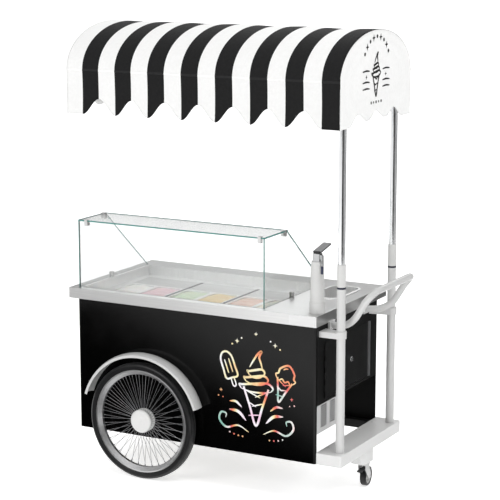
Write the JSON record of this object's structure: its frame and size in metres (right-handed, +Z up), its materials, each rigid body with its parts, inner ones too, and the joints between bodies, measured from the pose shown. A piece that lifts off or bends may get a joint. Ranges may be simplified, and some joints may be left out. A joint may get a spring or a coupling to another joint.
{
  "type": "push vending cart",
  "caption": "Ice-cream push cart: cabinet on spoked wheels and a caster, cooled well under glass, sink, tap, push handle and a striped barrel canopy.",
  "frame": {"origin": "on the floor under the middle of the cart's box", "axes": "+X towards the push handle, +Y towards the vendor's side, +Z up"},
  "size_m": [1.6798, 0.89, 2.2769],
  "materials": {
    "black_panel": "gloss",
    "black_frame": "satin",
    "white_frame": "gloss",
    "stainless": "brushed",
    "chrome": "polished",
    "polished_rim": "polished",
    "aluminium": "satin",
    "dark_rubber": "matte",
    "dark_plastic": "matte",
    "white_plastic": "gloss",
    "tyre_black": "matte",
    "glass": "clear",
    "foam": "matte",
    "canopy_fabric": "striped"
  },
  "bodies": {
    "chassis": {"front_panel": "black_panel", "rear_panel": "black_panel", "left_end_panel": "black_panel", "right_end_panel": "black_panel", "door_hinge": "black_frame", "chassis_rails": "black_frame", "base_platform": "white_frame", "canopy_posts": "white_frame", "post_seals": "dark_rubber", "post_brackets": "white_frame", "push_handle": "white_frame", "insulated_tub": "foam", "well_liner": "stainless", "worktop": "stainless", "pan_bars": "dark_plastic", "bay_fillers": "stainless", "sink_bowl": "stainless", "tap_tower": "white_plastic", "front_glass": "glass", "top_glass": "glass", "side_glasses": "glass", "glass_clamps": "stainless", "wheel_axle": "stainless", "wheel_fenders": "white_frame", "louvre_grille": "stainless", "compressor": "black_frame", "condenser": "aluminium", "machine_tray": "stainless", "storage_liner": "stainless", "water_tanks": "white_plastic", "power_inlet": "dark_plastic"},
    "door": {"door_panel": "black_panel", "door_grip": "aluminium"},
    "lock": {"door_lock": "chrome"},
    "tap_head": {"tap_head": "chrome"},
    "tap_lever": {"tap_lever": "chrome"},
    "mast": {"mast_uprights": "chrome", "canopy_frame": "aluminium", "canopy_cover": "canopy_fabric"},
    "front_sleeve": {"front_lock_sleeve": "white_plastic"},
    "rear_sleeve": {"rear_lock_sleeve": "white_plastic"},
    "front_wheel": {"front_wheel_tyre": "tyre_black", "front_wheel_rim": "polished_rim", "front_wheel_spokes": "chrome", "front_wheel_hub": "white_frame"},
    "rear_wheel": {"rear_wheel_tyre": "tyre_black", "rear_wheel_rim": "polished_rim", "rear_wheel_spokes": "chrome", "rear_wheel_hub": "white_frame"},
    "caster": {"caster_fork": "white_frame"},
    "caster_wheel": {"caster_wheel": "white_plastic", "caster_tyre": "tyre_black"},
    "brake_pedal": {"brake_pedal": "dark_plastic"},
    "fan": {"condenser_fan": "dark_plastic"},
    "pan_1": {"pan_1": "stainless"},
    "pan_2": {"pan_2": "stainless"},
    "pan_3": {"pan_3": "stainless"},
    "pan_4": {"pan_4": "stainless"},
    "pan_5": {"pan_5": "stainless"},
    "pan_6": {"pan_6": "stainless"}
  },
  "joints": [
    {"name": "front_wheel_spin", "type": "hinge", "parent": "chassis", "child": "front_wheel", "pos_m": [-0.375, -0.408, 0.3], "axis": [0, 1, 0], "continuous": true},
    {"name": "rear_wheel_spin", "type": "hinge", "parent": "chassis", "child": "rear_wheel", "pos_m": [-0.375, 0.374, 0.3], "axis": [0, 1, 0], "continuous": true},
    {"name": "caster_swivel", "type": "hinge", "parent": "chassis", "child": "caster", "pos_m": [0.671, -0.017, 0.128], "axis": [0, 0, 1], "continuous": true},
    {"name": "caster_roll", "type": "hinge", "parent": "caster", "child": "caster_wheel", "pos_m": [0.66835, 0.02091, 0.05], "axis": [-0.9976, -0.0698, 0], "continuous": true},
    {"name": "brake_press", "type": "hinge", "parent": "caster", "child": "brake_pedal", "pos_m": [0.67184, -0.02897, 0.096], "axis": [0.9976, 0.0698, 0], "range_deg": [0, 15]},
    {"name": "door_swing", "type": "hinge", "parent": "chassis", "child": "door", "pos_m": [0.582, -0.274, 0.648], "axis": [0, 0, -1], "range_deg": [0, 95]},
    {"name": "lock_turn", "type": "hinge", "parent": "door", "child": "lock", "pos_m": [0.578, 0.009, 0.645], "axis": [1, 0, 0], "range_deg": [0, 90]},
    {"name": "canopy_slide", "type": "slide", "parent": "chassis", "child": "mast", "axis": [0, 0, 1], "range_m": [-0.3, 0]},
    {"name": "front_sleeve_twist", "type": "hinge", "parent": "chassis", "child": "front_sleeve", "pos_m": [0.68, -0.3105, 1.13], "axis": [0, 0, 1], "range_deg": [0, 90]},
    {"name": "rear_sleeve_twist", "type": "hinge", "parent": "chassis", "child": "rear_sleeve", "pos_m": [0.68, 0.2765, 1.13], "axis": [0, 0, 1], "range_deg": [0, 90]},
    {"name": "tap_swivel", "type": "hinge", "parent": "chassis", "child": "tap_head", "pos_m": [0.539, -0.282, 1.2], "axis": [0, 0, 1], "range_deg": [-80, 70]},
    {"name": "lever_lift", "type": "hinge", "parent": "tap_head", "child": "tap_lever", "pos_m": [0.539, -0.29, 1.2305], "axis": [1, 0, 0], "range_deg": [0, 25]},
    {"name": "fan_spin", "type": "hinge", "parent": "chassis", "child": "fan", "pos_m": [0.493, -0.23, 0.415], "axis": [1, 0, 0], "continuous": true},
    {"name": "pan_1_lift", "type": "slide", "parent": "chassis", "child": "pan_1", "axis": [0, 0, 1], "range_m": [0, 0.16]},
    {"name": "pan_2_lift", "type": "slide", "parent": "chassis", "child": "pan_2", "axis": [0, 0, 1], "range_m": [0, 0.16]},
    {"name": "pan_3_lift", "type": "slide", "parent": "chassis", "child": "pan_3", "axis": [0, 0, 1], "range_m": [0, 0.16]},
    {"name": "pan_4_lift", "type": "slide", "parent": "chassis", "child": "pan_4", "axis": [0, 0, 1], "range_m": [0, 0.16]},
    {"name": "pan_5_lift", "type": "slide", "parent": "chassis", "child": "pan_5", "axis": [0, 0, 1], "range_m": [0, 0.16]},
    {"name": "pan_6_lift", "type": "slide", "parent": "chassis", "child": "pan_6", "axis": [0, 0, 1], "range_m": [0, 0.16]}
  ]
}
